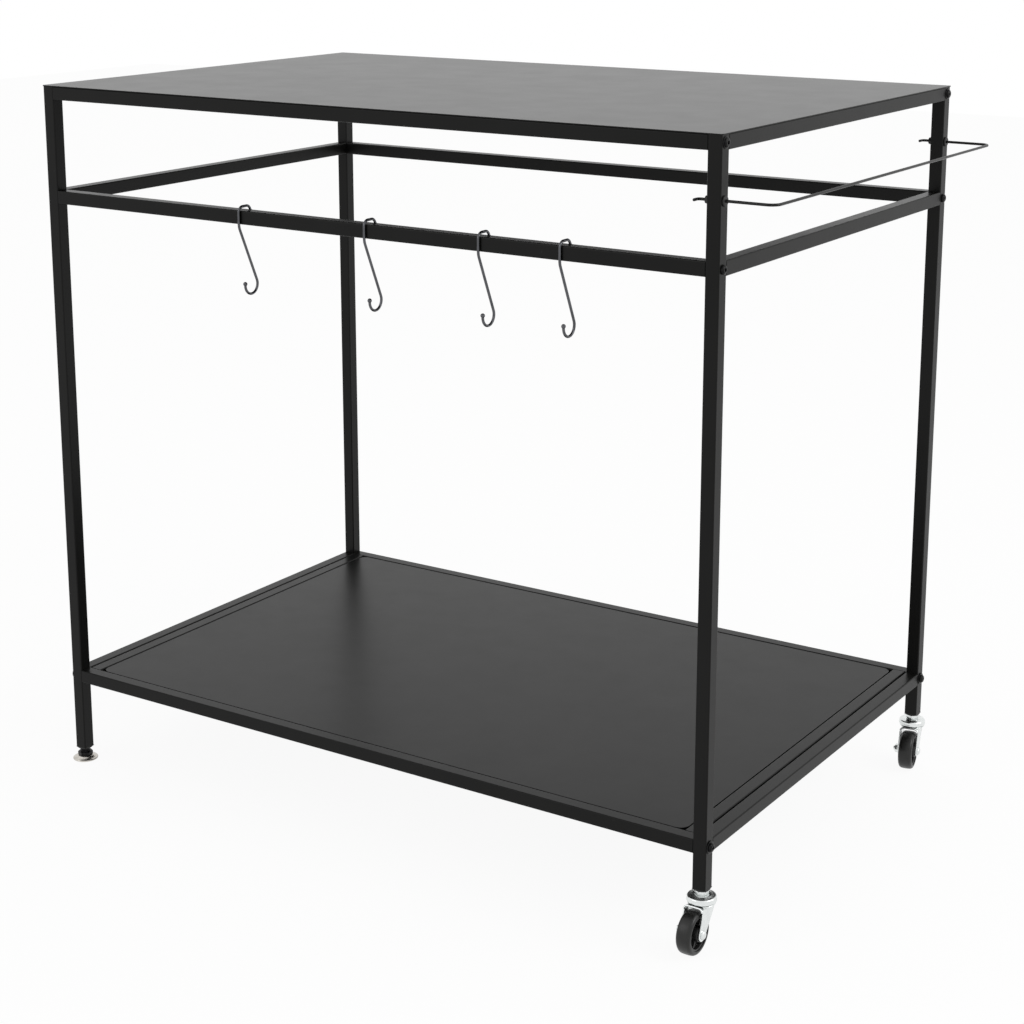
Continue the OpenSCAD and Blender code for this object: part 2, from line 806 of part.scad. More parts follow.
front_left_leg();
rear_left_leg();
front_right_leg();
rear_right_leg();
left_top_crossbar();
left_mid_crossbar();
left_shelf_crossbar();
right_top_crossbar();
right_mid_crossbar();
right_shelf_crossbar();
front_top_rail();
rear_top_rail();
front_mid_rail();
rear_mid_rail();
front_shelf_rail();
rear_shelf_rail();
left_tray_tube();
right_tray_tube();
top_braces();
shelf_braces();
top_panel();
shelf_panel();
top_bolts();
mid_bolts();
shelf_bolts();
shelf_washers();
rail_inserts();
foot_sockets();
caster_sockets();
bar_bushings();
towel_bar();
s_hook_1();
s_hook_2();
s_hook_3();
s_hook_4();
front_caster_stem();
front_caster_cap();
front_caster_balls();
front_caster_fork();
front_axle_bolt();
front_axle_nut();
front_axle_sleeve();
front_wheel_core();
front_tyre();
rear_caster_stem();
rear_caster_cap();
rear_caster_balls();
rear_caster_fork();
rear_axle_bolt();
rear_axle_nut();
rear_axle_sleeve();
rear_wheel_core();
rear_tyre();
front_foot_screw();
front_foot_disc();
rear_foot_screw();
rear_foot_disc();
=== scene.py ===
"""Looks of a two-tier steel work cart: powder-coated frame, wire hooks, zinc casters.

Lengths in the sub-assemblies are in millimetres, and MM turns them into metres. The
stage's are in metres.
+X runs along the cart towards the casters, -Y is the hook side and +Z is up.
"""

import logging
import math
from collections.abc import Callable, Iterable, Sequence
from dataclasses import dataclass, field
from enum import Enum

import bmesh
import bpy
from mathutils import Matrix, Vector


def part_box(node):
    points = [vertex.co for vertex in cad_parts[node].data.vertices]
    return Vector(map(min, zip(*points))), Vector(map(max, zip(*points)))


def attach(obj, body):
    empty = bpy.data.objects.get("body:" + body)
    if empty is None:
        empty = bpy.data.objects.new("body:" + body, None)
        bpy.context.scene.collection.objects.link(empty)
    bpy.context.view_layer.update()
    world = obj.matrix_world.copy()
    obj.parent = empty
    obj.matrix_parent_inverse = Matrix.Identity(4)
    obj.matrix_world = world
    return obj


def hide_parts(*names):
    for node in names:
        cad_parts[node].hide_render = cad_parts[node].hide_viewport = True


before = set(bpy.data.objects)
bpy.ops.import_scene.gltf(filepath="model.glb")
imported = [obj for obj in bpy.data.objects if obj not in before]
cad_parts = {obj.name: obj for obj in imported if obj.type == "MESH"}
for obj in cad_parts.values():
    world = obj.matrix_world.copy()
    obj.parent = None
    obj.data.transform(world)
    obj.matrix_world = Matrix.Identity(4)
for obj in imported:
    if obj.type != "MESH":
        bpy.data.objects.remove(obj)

LOG = logging.getLogger("cart")
MM = 0.001
# Degrees that one face spans along a bend in a wire
BEND_STEP = 7.5
# Where a noise starts and ends to count as a patch, and as rough or smooth
PATCH_SPAN = (0.38, 0.66)
ROUGH_SPAN = (0.3, 0.7)
# Noise that almost nothing passes, and how sharply a rubbed spot ends below it
SCUFF_TOP, SCUFF_EDGE = 0.72, 0.05
Point = tuple[float, float]
Triple = tuple[float, float, float]


class Axis(Enum):
    """Axis that a piece is turned about."""

    X = (1.0, 0.0, 0.0)
    Z = (0.0, 0.0, 1.0)


class End(Enum):
    """Side of the cart that a leg stands on."""

    FRONT = "front"
    REAR = "rear"


class Head(Enum):
    """Kind of button head on a frame bolt."""

    PLAIN = "plain"
    FLANGED = "flanged"


class Part(Enum):
    """Kind of mesh element to select."""

    FACE = "FACE"
    EDGE = "EDGE"


class Cut(Enum):
    """What a cutter leaves of a piece."""

    OUTSIDE = "DIFFERENCE"
    INSIDE = "INTERSECT"


# ---- Modelling ----


def rest() -> None:
    """Leaves edit mode and deselects every object."""
    if bpy.context.object is not None and bpy.context.object.mode != "OBJECT":
        bpy.ops.object.mode_set(mode="OBJECT")
    bpy.ops.object.select_all(action="DESELECT")


def pick(obj: bpy.types.Object) -> None:
    """Makes one object the only selected and active one.

    Args:
        obj: The object to pick.
    """
    rest()
    obj.select_set(True)
    bpy.context.view_layer.objects.active = obj


def metres(*lengths: float) -> Triple:
    """Returns three lengths in millimetres as metres."""
    return tuple(length * MM for length in lengths)


def arc(centre: Point, radius: float, start: float, stop: float, steps: int) -> list[Point]:
    """Points along an arc of an outline.

    Args:
        centre: Centre of the arc.
        radius: Its radius.
        start: Angle of the first point, in degrees.
        stop: Angle of the last point, in degrees.
        steps: Number of chords.

    Returns:
        The points from start to stop.
    """
    angles = [math.radians(start + (stop - start) * i / steps) for i in range(steps + 1)]
    return [(centre[0] + radius * math.cos(a), centre[1] + radius * math.sin(a)) for a in angles]


def begin_line(name: str, points: Sequence[Triple], closed: bool = False) -> bpy.types.Object:
    """Draws a line in edit mode by extruding one vertex from point to point.

    Args:
        name: Name of the new object.
        points: Corners of the line, in millimetres.
        closed: Whether the line returns to its first corner.

    Returns:
        The new object, still in edit mode with the line's last vertex selected.
    """
    rest()
    bpy.ops.mesh.primitive_plane_add(size=MM / 10, location=metres(*points[0]))
    obj = bpy.context.object
    obj.name = obj.data.name = name
    bpy.ops.object.mode_set(mode="EDIT")
    bpy.ops.mesh.select_mode(type="VERT")
    bpy.ops.mesh.select_all(action="SELECT")
    bpy.ops.mesh.merge(type="CENTER")
    corners = list(points) + ([points[0]] if closed else [])
    for a, b in zip(corners, corners[1:]):
        step = metres(*(q - p for p, q in zip(a, b)))
        bpy.ops.mesh.extrude_region_move(TRANSFORM_OT_translate={"value": step})
    return obj


def select_where(obj: bpy.types.Object, kind: Part, test: Callable[..., bool]) -> None:
    """Selects the faces or edges of a mesh that pass a test.

    Args:
        obj: The object, in edit mode.
        kind: Which elements are tested.
        test: Takes the middle of the element in millimetres, and then a face's normal
            or the edge itself.
    """
    bpy.ops.mesh.select_mode(type=kind.value)
    bpy.ops.mesh.select_all(action="DESELECT")
    mesh = bmesh.from_edit_mesh(obj.data)
    place = obj.matrix_world
    if kind is Part.FACE:
        for face in mesh.faces:
            if test(place @ face.calc_center_median() / MM, face.normal):
                face.select_set(True)
    else:
        for edge in mesh.edges:
            middle = (edge.verts[0].co + edge.verts[1].co) / 2
            if test(place @ middle / MM, edge):
                edge.select_set(True)
    mesh.select_flush_mode()
    bmesh.update_edit_mesh(obj.data)


def close_up() -> None:
    """Merges doubled vertices and turns every face of the edited mesh outwards."""
    bpy.ops.mesh.select_mode(type="VERT")
    bpy.ops.mesh.select_all(action="SELECT")
    bpy.ops.mesh.remove_doubles(threshold=MM / 500)
    bpy.ops.mesh.normals_make_consistent(inside=False)


def modify(obj: bpy.types.Object, kind: str, **settings: object) -> None:
    """Adds a modifier with its settings and applies it.

    Args:
        obj: The object to change.
        kind: Blender's name of the modifier.
        **settings: Properties of the modifier.
    """
    pick(obj)
    modifier = obj.modifiers.new(kind.title(), kind)
    for key, value in settings.items():
        setattr(modifier, key, value)
    bpy.ops.object.modifier_apply(modifier=modifier.name)


def soften(obj: bpy.types.Object, width: float, segments: int = 2, angle: float = 35) -> None:
    """Rounds the sharp edges of a piece.

    Args:
        obj: The piece.
        width: Width of the rounding in millimetres.
        segments: Faces across it.
        angle: Smallest angle in degrees that counts as an edge.
    """
    modify(obj, "BEVEL", width=width * MM, segments=segments, limit_method="ANGLE",
           angle_limit=math.radians(angle), harden_normals=False, use_clamp_overlap=True)


def settle(obj: bpy.types.Object, smooth: float = 40) -> bpy.types.Object:
    """Applies an object's place to its mesh and shades it smooth below an angle.

    Args:
        obj: The piece.
        smooth: The angle in degrees.

    Returns:
        The same object.
    """
    pick(obj)
    bpy.ops.object.transform_apply(location=True, rotation=True, scale=True)
    bpy.ops.object.shade_smooth_by_angle(angle=math.radians(smooth))
    return obj


def turned(name: str, outline: Sequence[Point], axis: Axis = Axis.Z, steps: int = 64,
           closed: bool = False, round_mm: float = 0.2,
           centre: Triple = (0.0, 0.0, 0.0)) -> bpy.types.Object:
    """Spins an outline into a round piece.

    Args:
        name: Name of the piece.
        outline: Points as radius and distance along the axis, in millimetres.
        axis: Axis of the turn, X or Z.
        steps: Faces round the piece.
        closed: Whether the outline is a ring that returns to its first point.
        round_mm: Rounding of its sharp edges.
        centre: Point that the axis runs through, in millimetres.

    Returns:
        The piece.
    """
    x, y, z = centre
    if axis is Axis.X:
        points = [(x + h, y, z + r) for r, h in outline]
    else:
        points = [(x + r, y, z + h) for r, h in outline]
    obj = begin_line(name, points, closed)
    bpy.ops.mesh.select_all(action="SELECT")
    bpy.ops.mesh.spin(steps=steps, angle=math.tau, center=metres(*centre), axis=axis.value)
    close_up()
    if round_mm:
        soften(obj, round_mm)
    return settle(obj)


def cut(obj: bpy.types.Object, tool: bpy.types.Object, keep: Cut) -> None:
    """Cuts a piece with another one, which is then removed.

    Args:
        obj: The piece that stays.
        tool: The cutter.
        keep: Which side of the cutter is left.
    """
    modify(obj, "BOOLEAN", operation=keep.value, object=tool, solver="EXACT")
    bpy.data.objects.remove(tool)


def prism(name: str, across: float, low: float, high: float) -> bpy.types.Object:
    """Makes a hexagonal bar standing on the Z axis.

    Args:
        name: Name of the piece.
        across: Width across flats.
        low: Height of its lower end.
        high: Height of its upper end.

    Returns:
        The bar.
    """
    rest()
    bpy.ops.mesh.primitive_cylinder_add(
        vertices=6, radius=across / 2 / math.cos(math.pi / 6) * MM, depth=(high - low) * MM,
        location=metres(0, 0, (low + high) / 2))
    obj = bpy.context.object
    obj.name = obj.data.name = name
    return obj


def hexagon(name: str, across: float, low: float, high: float, chamfer: float) -> bpy.types.Object:
    """Makes a hexagon whose corners are turned down, as on a nut.

    Args:
        name: Name of the piece.
        across: Width across flats.
        low: Height of its lower face.
        high: Height of its upper face.
        chamfer: Height that the corners lose at each face.

    Returns:
        The hexagon.
    """
    flat, corner = across / 2 * 0.98, across / 2 / math.cos(math.pi / 6) + 0.05
    barrel = turned(name + "_barrel", [
        (0, low), (flat, low), (corner, low + chamfer), (corner, high - chamfer),
        (flat, high), (0, high)], steps=48, round_mm=0)
    obj = prism(name, across, low, high)
    cut(obj, barrel, Cut.INSIDE)
    soften(obj, 0.15)
    return settle(obj, 30)


def join(obj: bpy.types.Object, *others: bpy.types.Object) -> bpy.types.Object:
    """Joins pieces that are one body of metal into the first of them.

    Args:
        obj: The piece that stays.
        *others: The pieces that become part of it.

    Returns:
        The first piece.
    """
    pick(obj)
    for other in others:
        other.select_set(True)
    bpy.ops.object.join()
    return obj


def copy_to(obj: bpy.types.Object, name: str, place: Triple,
            turn: Triple = (0, 0, 0)) -> bpy.types.Object:
    """Copies a piece, with its own mesh, to a new place.

    Args:
        obj: The piece to copy.
        name: Name of the copy.
        place: Where its origin goes, in metres.
        turn: Its rotation in degrees about X, Y and Z.

    Returns:
        The copy.
    """
    pick(obj)
    bpy.ops.object.duplicate()
    copy = bpy.context.object
    copy.name = copy.data.name = name
    copy.rotation_euler = tuple(math.radians(angle) for angle in turn)
    copy.location = place
    bpy.ops.object.transform_apply(location=True, rotation=True, scale=True)
    return copy


def centre_of(node: str) -> Vector:
    """Returns the middle of a CAD node's box, in metres."""
    low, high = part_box(node)
    return (low + high) / 2


@dataclass
class Wire:
    """Round wire drawn out and bent one stretch at a time.

    Args:
        name: Name of the piece.
        thick: Diameter of the wire.
        sides: Faces round it.
        obj: The piece, once its first end is there.
    """

    name: str
    thick: float
    sides: int = 20
    obj: bpy.types.Object | None = None

    def start(self, at: Triple, turn: Triple) -> None:
        """Adds the wire's first end.

        Args:
            at: Centre of the end, in millimetres.
            turn: Rotation in degrees that turns the end's face along the wire.
        """
        rest()
        bpy.ops.mesh.primitive_circle_add(
            vertices=self.sides, radius=self.thick / 2 * MM, fill_type="NGON",
            location=metres(*at), rotation=tuple(math.radians(a) for a in turn))
        self.obj = bpy.context.object
        self.obj.name = self.obj.data.name = self.name
        bpy.ops.object.transform_apply(location=True, rotation=True, scale=True)
        bpy.ops.object.mode_set(mode="EDIT")
        bpy.ops.mesh.select_mode(type="FACE")
        bpy.ops.mesh.select_all(action="SELECT")

    def run(self, step: Triple) -> None:
        """Draws the wire straight on.

        Args:
            step: The stretch, in millimetres.
        """
        bpy.ops.mesh.extrude_region_move(TRANSFORM_OT_translate={"value": metres(*step)})

    def turn(self, centre: Triple, axis: Axis, degrees: float) -> None:
        """Bends the wire about a centre, anticlockwise seen from the axis' end.

        Args:
            centre: Centre of the bend, in millimetres.
            axis: Axis of the bend.
            degrees: Angle of the bend.
        """
        steps = max(3, round(abs(degrees) / BEND_STEP))
        bpy.ops.mesh.spin(steps=steps, angle=-math.radians(degrees), center=metres(*centre),
                          axis=axis.value)

    def ball(self, at: Triple, across: float) -> None:
        """Adds a ball on an end.

        Args:
            at: Centre of the ball, in millimetres.
            across: Its diameter.
        """
        bpy.ops.mesh.select_all(action="DESELECT")
        bpy.ops.mesh.primitive_uv_sphere_add(segments=24, ring_count=14, radius=across / 2 * MM,
                                             location=metres(*at))

    def done(self, round_mm: float = 0.0) -> bpy.types.Object:
        """Closes the wire.

        Args:
            round_mm: Rounding of its cut ends.

        Returns:
            The finished piece.
        """
        close_up()
        if round_mm:
            soften(self.obj, round_mm, segments=3, angle=60)
        return settle(self.obj, 50)


# ---- Finishes ----


def colour(code: str) -> tuple[float, float, float, float]:
    """Turns an sRGB hex value into a linear colour.

    Args:
        code: The value as RRGGBB.

    Returns:
        Red, green, blue and alpha.
    """
    parts = [int(code[i:i + 2], 16) / 255 for i in (0, 2, 4)]
    return (*(p / 12.92 if p <= 0.04045 else ((p + 0.055) / 1.055) ** 2.4 for p in parts), 1.0)


def add_node(tree: bpy.types.NodeTree, kind: str, settings: dict | None = None,
             links: dict | None = None) -> bpy.types.Node:
    """Adds a node with its settings and links.

    Args:
        tree: The node tree.
        kind: Type of the node.
        settings: Properties of the node.
        links: Input by name or number, and the socket or value that it gets.

    Returns:
        The node.
    """
    node = tree.nodes.new(kind)
    for key, value in (settings or {}).items():
        setattr(node, key, value)
    for key, value in (links or {}).items():
        if isinstance(value, bpy.types.NodeSocket):
            tree.links.new(value, node.inputs[key])
        else:
            node.inputs[key].default_value = value
    return node


@dataclass(frozen=True)
class Finish:
    """A surface finish, drawn with patches of tone, a fine grain and a slight wave.

    Args:
        name: Name of the material.
        base: Main colour.
        tone: Second colour, in soft patches.
        roughness: Roughness where the surface is clean.
        metallic: 1 for a metal, 0 otherwise.
        ior: Index of refraction, left alone on a metal.
        gloss: Specular level, 0.5 for the full reflection of that index.
        patch: Size of the patches of tone.
        patch_share: How strongly the second colour shows.
        grain: Size of the fine grain.
        grain_depth: Depth of the grain.
        wave: Size of the slight wave under the grain.
        wave_depth: Depth of the wave.
        uneven: Change of roughness across the patches.
        stretch: How much longer the grain is along Z, or 1.
        sheen: Weight of the dusty sheen seen at grazing angles.
        scuff: Colour of rubbed spots.
        scuff_share: Share of the surface that is rubbed.
    """

    name: str
    base: str
    tone: str
    roughness: float
    metallic: float = 0.0
    ior: float = 1.5
    gloss: float = 0.5
    patch: float = 60.0
    patch_share: float = 0.6
    grain: float = 1.2
    grain_depth: float = 0.01
    wave: float = 18.0
    wave_depth: float = 0.01
    uneven: float = 0.05
    stretch: float = 1.0
    sheen: float = 0.0
    scuff: str = "3a3a38"
    scuff_share: float = 0.0

    def noise(self, tree: bpy.types.NodeTree, place: bpy.types.NodeSocket, size: float,
              detail: float = 3.0) -> bpy.types.NodeSocket:
        """Adds a noise whose features have a real size.

        Args:
            tree: The material's tree.
            place: Coordinates in metres.
            size: Size of the features in millimetres.
            detail: Octaves of the noise.

        Returns:
            The noise from 0 to 1.
        """
        return add_node(tree, "ShaderNodeTexNoise", None, {
            "Vector": place, "Scale": 1 / (size * MM), "Detail": detail, "Roughness": 0.55}
        ).outputs["Fac"]

    def make(self) -> bpy.types.Material:
        """Builds the material.

        Returns:
            The material.
        """
        material = bpy.data.materials.new(self.name)
        material.use_nodes = True
        tree = material.node_tree
        tree.nodes.clear()
        place = add_node(tree, "ShaderNodeTexCoord").outputs["Object"]
        patches = add_node(tree, "ShaderNodeMapRange", {"interpolation_type": "SMOOTHSTEP"}, {
            "Value": self.noise(tree, place, self.patch), "From Min": PATCH_SPAN[0],
            "From Max": PATCH_SPAN[1], "To Max": self.patch_share}).outputs["Result"]
        tint = add_node(tree, "ShaderNodeMix", {"data_type": "RGBA"}, {
            0: patches, 6: colour(self.base), 7: colour(self.tone)}).outputs[2]
        rough = add_node(tree, "ShaderNodeMapRange", None, {
            "Value": self.noise(tree, place, self.patch / 3, 5.0), "From Min": ROUGH_SPAN[0],
            "From Max": ROUGH_SPAN[1], "To Min": self.roughness - self.uneven,
            "To Max": self.roughness + self.uneven}).outputs["Result"]
        if self.scuff_share:
            spots = self.noise(tree, place, self.grain * 5, 6.0)
            level = SCUFF_TOP - self.scuff_share
            rubbed = add_node(tree, "ShaderNodeMapRange", None, {
                "Value": spots, "From Min": level,
                "From Max": level + SCUFF_EDGE}).outputs["Result"]
            tint = add_node(tree, "ShaderNodeMix", {"data_type": "RGBA"}, {
                0: rubbed, 6: tint, 7: colour(self.scuff)}).outputs[2]
        along = add_node(tree, "ShaderNodeMapping", None, {
            "Vector": place, "Scale": (1.0, 1.0, 1.0 / self.stretch)}).outputs["Vector"]
        wave = add_node(tree, "ShaderNodeBump", None, {
            "Height": self.noise(tree, place, self.wave, 1.0), "Strength": 1.0,
            "Distance": self.wave_depth * MM})
        grain = add_node(tree, "ShaderNodeBump", None, {
            "Height": self.noise(tree, along, self.grain, 2.0), "Strength": 1.0,
            "Distance": self.grain_depth * MM, "Normal": wave.outputs["Normal"]})
        values = {"Base Color": tint, "Roughness": rough, "Normal": grain.outputs["Normal"],
                  "Metallic": self.metallic, "Sheen Weight": self.sheen}
        if not self.metallic:
            values["IOR"] = self.ior
            values["Specular IOR Level"] = self.gloss
        shader = add_node(tree, "ShaderNodeBsdfPrincipled", None, values)
        add_node(tree, "ShaderNodeOutputMaterial", None, {"Surface": shader.outputs["BSDF"]})
        return material


# Polyester powder, sprayed and baked: satin black with a fine orange peel. The
# cured skin is matt seen square on and turns to a grey sheen along the surface
POWDER = Finish("powder_coat_satin_black", "0c0c0b", "131312", 0.33, ior=1.42, gloss=0.2,
                patch=110, patch_share=0.35, grain=1.4, grain_depth=0.01, wave=30,
                wave_depth=0.012, uneven=0.015, scuff="1c1c1b", scuff_share=0.008)
# The same powder on flat rolled sheet, where it flows out smoother than on a tube
SHEET_POWDER = Finish("powder_coat_satin_sheet", "0c0c0b", "131312", 0.285, ior=1.42,
                      gloss=0.2, patch=140, patch_share=0.3, grain=1.6, grain_depth=0.008,
                      wave=40, wave_depth=0.008, uneven=0.01, scuff="1c1c1b",
                      scuff_share=0.006)
# Steel blackened in hot salts and oiled: dark with a soft metal glint
BLACK_OXIDE = Finish("steel_black_oxide", "1d1d1e", "2a2a29", 0.34, metallic=1.0, patch=4,
                     grain=0.3, grain_depth=0.012, wave=2.5, wave_depth=0.01, uneven=0.08,
                     scuff="4c4a47", scuff_share=0.04)
# Glass-filled nylon moulded in a spark-eroded tool: even, matt black
NYLON = Finish("nylon_moulded_black", "0f0f0f", "151514", 0.5, ior=1.53, gloss=0.35, patch=9,
               grain=0.5, grain_depth=0.02, wave=5, wave_depth=0.01, uneven=0.05, sheen=0.02)
# Pressed steel, bright zinc plated: pale blue-white metal with a slight press wave
ZINC = Finish("zinc_plate_bright", "e6e9e8", "d6d9d9", 0.24, metallic=1.0, patch=7,
              patch_share=0.4, grain=0.5, grain_depth=0.003, wave=9, wave_depth=0.012,
              uneven=0.05, scuff="b4b3af", scuff_share=0.012)
# Drawn wire, polished and plated black nickel: dark mirror with fine draw lines
GUNMETAL = Finish("steel_wire_black_nickel", "5c5d60", "4c4d50", 0.15, metallic=1.0, patch=14,
                  grain=0.25, grain_depth=0.003, wave=3, wave_depth=0.008, uneven=0.05,
                  stretch=12, scuff="333335", scuff_share=0.03)
# Drawn wire under the same powder coat as the frame, a little smoother
WIRE_COAT = Finish("powder_coat_wire_black", "0c0c0b", "121211", 0.3, ior=1.45, gloss=0.3,
                   patch=30, grain=0.9, grain_depth=0.008, wave=9, wave_depth=0.012,
                   uneven=0.04, scuff="1c1c1b", scuff_share=0.01)
# Hard rubber tyre pressed in a mould: dull black with road dust in the grain
RUBBER = Finish("rubber_moulded_hard", "0e0e0d", "161614", 0.36, ior=1.52, gloss=0.4, patch=8,
                grain=0.6, grain_depth=0.012, wave=7, wave_depth=0.02, uneven=0.07, sheen=0.02,
                scuff="24231f", scuff_share=0.04)
# Polypropylene wheel body: smooth moulded black
POLYPROPYLENE = Finish("polypropylene_moulded_black", "111111", "181818", 0.34, ior=1.49,
                       gloss=0.4, patch=6, grain=0.4, grain_depth=0.008, wave=5,
                       wave_depth=0.02, uneven=0.06)
# Pressed steel disc, satin nickel plated: warm grey metal
NICKEL = Finish("nickel_plate_satin", "cdc9c2", "b5b1aa", 0.3, metallic=1.0, patch=6,
                grain=0.3, grain_depth=0.005, wave=5, wave_depth=0.02, uneven=0.06,
                scuff="8c8881", scuff_share=0.05)


@dataclass
class Paint:
    """Makes each finish once and dresses pieces and CAD nodes in it."""

    made: dict[str, bpy.types.Material] = field(default_factory=dict)

    def of(self, finish: Finish) -> bpy.types.Material:
        """Returns the material of a finish, which is made the first time.

        Args:
            finish: The finish.

        Returns:
            Its material.
        """
        if finish.name not in self.made:
            self.made[finish.name] = finish.make()
        return self.made[finish.name]

    def nodes(self, finish: Finish, names: Iterable[str]) -> None:
        """Dresses CAD nodes.

        Args:
            finish: The finish.
            names: Names of the nodes.
        """
        for name in names:
            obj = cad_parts[name]
            if not obj.material_slots:
                obj.data.materials.append(self.of(finish))
            for slot in obj.material_slots:
                slot.material = self.of(finish)

    def piece(self, obj: bpy.types.Object, finish: Finish, slot: str, body: str,
              *replaced: str) -> None:
        """Dresses a new piece, and ties it to its body and the nodes that it stands for.

        Args:
            obj: The piece.
            finish: Its finish.
            slot: Not used.
            body: The CAD body that it moves with.
            *replaced: CAD nodes that it stands for.
        """
        obj.data.materials.clear()
        obj.data.materials.append(self.of(finish))
        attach(obj, body)
        if replaced:
            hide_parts(*replaced)
        LOG.info("%s: %d faces, %s", obj.name, len(obj.data.polygons), finish.name)


# ---- Sub-assemblies ----


@dataclass
class Frame:
    """Square tubes, sheets and leg plugs, which the CAD nodes already shape."""

    paint: Paint
    coated: tuple[str, ...] = (
        "front_left_leg", "rear_left_leg", "front_right_leg", "rear_right_leg",
        "left_top_crossbar", "left_mid_crossbar", "left_shelf_crossbar",
        "right_top_crossbar", "right_mid_crossbar", "right_shelf_crossbar",
        "front_top_rail", "rear_top_rail", "front_mid_rail", "rear_mid_rail",
        "front_shelf_rail", "rear_shelf_rail", "left_tray_tube", "right_tray_tube",
        "top_braces", "shelf_braces", "shelf_panel")
    sheets: tuple[str, ...] = ("top_panel",)
    moulded: tuple[str, ...] = ("foot_sockets", "caster_sockets")
    plated: tuple[str, ...] = (
        "rail_inserts", "front_caster_balls", "rear_caster_balls", "front_axle_sleeve",
        "rear_axle_sleeve")

    def build(self) -> None:
        """Dresses the frame's nodes."""
        self.paint.nodes(POWDER, self.coated)
        self.paint.nodes(SHEET_POWDER, self.sheets)
        self.paint.nodes(NYLON, self.moulded)
        self.paint.nodes(ZINC, self.plated)


@dataclass
class Bolts:
    """Button-head bolts through the legs, and the washers at the shelf."""

    paint: Paint
    shank: float = 6.0
    head: float = 10.5
    high: float = 3.3
    flange: float = 13.6
    flange_thick: float = 1.0
    rim: float = 0.6
    flat: float = 5.6
    socket: float = 4.0
    socket_deep: float = 1.9
    washer: float = 15.0
    washer_thick: float = 1.2
    grip: float = 26.0
    roll_step: float = 37.0
    row_roll: float = 11.0

    def bolt(self, kind: Head) -> bpy.types.Object:
        """Makes a bolt that stands on the origin with its head up.

        Args:
            kind: Its head.

        Returns:
            The bolt.
        """
        base = self.flange_thick if kind is Head.FLANGED else 0.0
        side = base + self.rim
        r, f = self.head / 2, self.flat / 2
        outline = [(0, -self.grip), (self.shank / 2, -self.grip), (self.shank / 2, 0)]
        if kind is Head.FLANGED:
            outline += [(self.flange / 2, 0), (self.flange / 2, base * 0.6), (r + 0.5, base)]
        outline += [(r, base)]
        outline += [(f + (r - f) * math.cos(t), side + (self.high - side) * math.sin(t))
                    for t in (math.pi / 2 * i / 6 for i in range(7))]
        outline += [(0, self.high)]
        obj = turned(f"bolt_{kind.value}", outline, steps=48, round_mm=0)
        key = prism("key", self.socket, self.high - self.socket_deep, self.high + 2)
        cut(obj, key, Cut.OUTSIDE)
        soften(obj, 0.12, angle=40)
        return settle(obj)

    def ring(self) -> bpy.types.Object:
        """Returns a flat washer that stands on the origin."""
        hole, out, thick = self.shank / 2 + 0.3, self.washer / 2, self.washer_thick
        return turned("washer", [(hole, 0), (out, 0), (out, thick), (hole, thick)],
                      steps=48, closed=True, round_mm=0.25)

    def seat(self, master: bpy.types.Object, name: str, number: int, where: Triple,
             side: int, roll: float) -> None:
        """Copies a bolt or washer to a leg. The first copy stands for the CAD node.

        Args:
            master: The piece, standing on the origin.
            name: Name of the copies, which the node's name has with an s.
            number: Number of this copy.
            where: Centre of its seat, in metres.
            side: 1 where it faces +X, -1 where it faces -X.
            roll: Its angle about its own axis, in degrees.
        """
        rolled = copy_to(master, "rolled", (0, 0, 0), (0, 0, roll))
        laid = copy_to(rolled, "laid", (0, 0, 0), (0, 90, 0))
        obj = copy_to(laid, f"{name}_{number}", where, (0, 0, 90 - 90 * side))
        for spare in (rolled, laid):
            bpy.data.objects.remove(spare)
        self.paint.piece(obj, BLACK_OXIDE, "black_bolts", "frame",
                         *([f"{name}s"] if number == 1 else []))

    def build(self) -> None:
        """Sets a bolt at each joint, and a washer under each shelf bolt."""
        plain, flanged, ring = self.bolt(Head.PLAIN), self.bolt(Head.FLANGED), self.ring()
        low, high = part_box("front_left_leg")[0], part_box("rear_right_leg")[1]
        ys = [centre_of(f"{end.value}_left_leg").y for end in End]
        seats = [(side, x, y) for side, x in ((-1, low.x), (1, high.x)) for y in ys]
        rows = (("top", flanged, 0.0), ("mid", plain, 0.0), ("shelf", plain, self.washer_thick))
        for row, master, out in rows:
            z = centre_of(f"left_{row}_crossbar").z
            for number, (side, x, y) in enumerate(seats, 1):
                # each bolt was driven to its own angle, so the sockets differ
                roll = self.roll_step * number + self.row_roll * len(row)
                where = (x + side * out * MM, y, z)
                self.seat(master, f"{row}_bolt", number, where, side, roll)
                if row == "shelf":
                    self.seat(ring, "shelf_washer", number, (x, y, z), side, roll)
        for master in (plain, flanged, ring):
            bpy.data.objects.remove(master)


